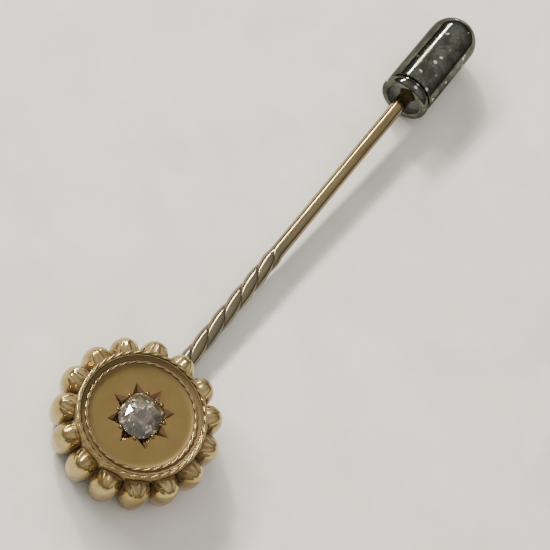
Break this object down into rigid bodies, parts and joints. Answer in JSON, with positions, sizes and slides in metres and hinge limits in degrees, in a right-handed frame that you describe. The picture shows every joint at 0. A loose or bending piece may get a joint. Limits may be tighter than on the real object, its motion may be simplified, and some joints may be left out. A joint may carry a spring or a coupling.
{
  "type": "tie tack",
  "caption": "Gold stick pin for a tie or lapel: a round star-set head ringed by lobes, a twisted stem, and a bullet clutch that grips the point until its cap is pulled.",
  "frame": {"origin": "bottom centre of the bounding box; the stem's axis is 2.35 mm above it", "axes": "+X along the stem from the head to the point, +Z out of the head's face, +Y across"},
  "size_m": [0.0594, 0.014, 0.0073],
  "materials": {
    "polished_gold": "polished, softly worn, tarnished in the recesses",
    "bloomed_gold": "matte bloomed",
    "wire_gold": "drawn wire, pale and polished",
    "diamond": "old cut, faceted",
    "dark_nickel": "bright plate with a dark, mottled tarnish",
    "spring_steel": "plain bright steel"
  },
  "bodies": {
    "pin": {"pin_stem": "wire_gold", "face_disc": "bloomed_gold", "diamond": "diamond", "inner_rope_wire": "polished_gold", "channel_ring": "polished_gold", "outer_rope_wire": "polished_gold", "gallery_band": "polished_gold", "back_plate": "polished_gold", "lobe_01": "polished_gold", "lobe_02": "polished_gold", "lobe_03": "polished_gold", "lobe_04": "polished_gold", "lobe_05": "polished_gold", "lobe_06": "polished_gold", "lobe_07": "polished_gold", "lobe_08": "polished_gold", "lobe_09": "polished_gold", "lobe_10": "polished_gold", "lobe_11": "polished_gold", "lobe_12": "polished_gold", "lobe_13": "polished_gold", "lobe_14": "polished_gold", "lobe_15": "polished_gold"},
    "collar": {"clutch_collar": "dark_nickel", "collar_end_ring": "spring_steel", "clutch_spring": "spring_steel"},
    "washer": {"spring_washer": "spring_steel"},
    "cap": {"clutch_cap": "dark_nickel", "ball_cage": "spring_steel"},
    "ball_1": {"grip_ball_1": "spring_steel"},
    "ball_2": {"grip_ball_2": "spring_steel"},
    "ball_3": {"grip_ball_3": "spring_steel"}
  },
  "joints": [
    {"name": "clutch_slide", "type": "slide", "parent": "pin", "child": "collar", "axis": [1, 0, 0], "range_m": [-0.0015, 0.0095]},
    {"name": "cap_pull", "type": "slide", "parent": "collar", "child": "washer", "axis": [1, 0, 0], "range_m": [0, 0.0008], "stiffness_N_per_m": 600, "deforming": ["clutch_spring"]},
    {"name": "cap_spin", "type": "hinge", "parent": "washer", "child": "cap", "pos_m": [0.01898, 0, 0.00235], "axis": [1, 0, 0], "continuous": true},
    {"name": "grip_ball_1_out", "type": "slide", "parent": "cap", "child": "ball_1", "axis": [0, 1, 0], "range_m": [0, 0.0002294]},
    {"name": "grip_ball_2_out", "type": "slide", "parent": "cap", "child": "ball_2", "axis": [0, -0.5, 0.866], "range_m": [0, 0.0002294]},
    {"name": "grip_ball_3_out", "type": "slide", "parent": "cap", "child": "ball_3", "axis": [0, -0.5, -0.866], "range_m": [0, 0.0002294]}
  ],
  "couplings": [
    {"joint": "grip_ball_1_out", "follows": "cap_pull", "ratio": 0.28675},
    {"joint": "grip_ball_2_out", "follows": "cap_pull", "ratio": 0.28675},
    {"joint": "grip_ball_3_out", "follows": "cap_pull", "ratio": 0.28675}
  ]
}
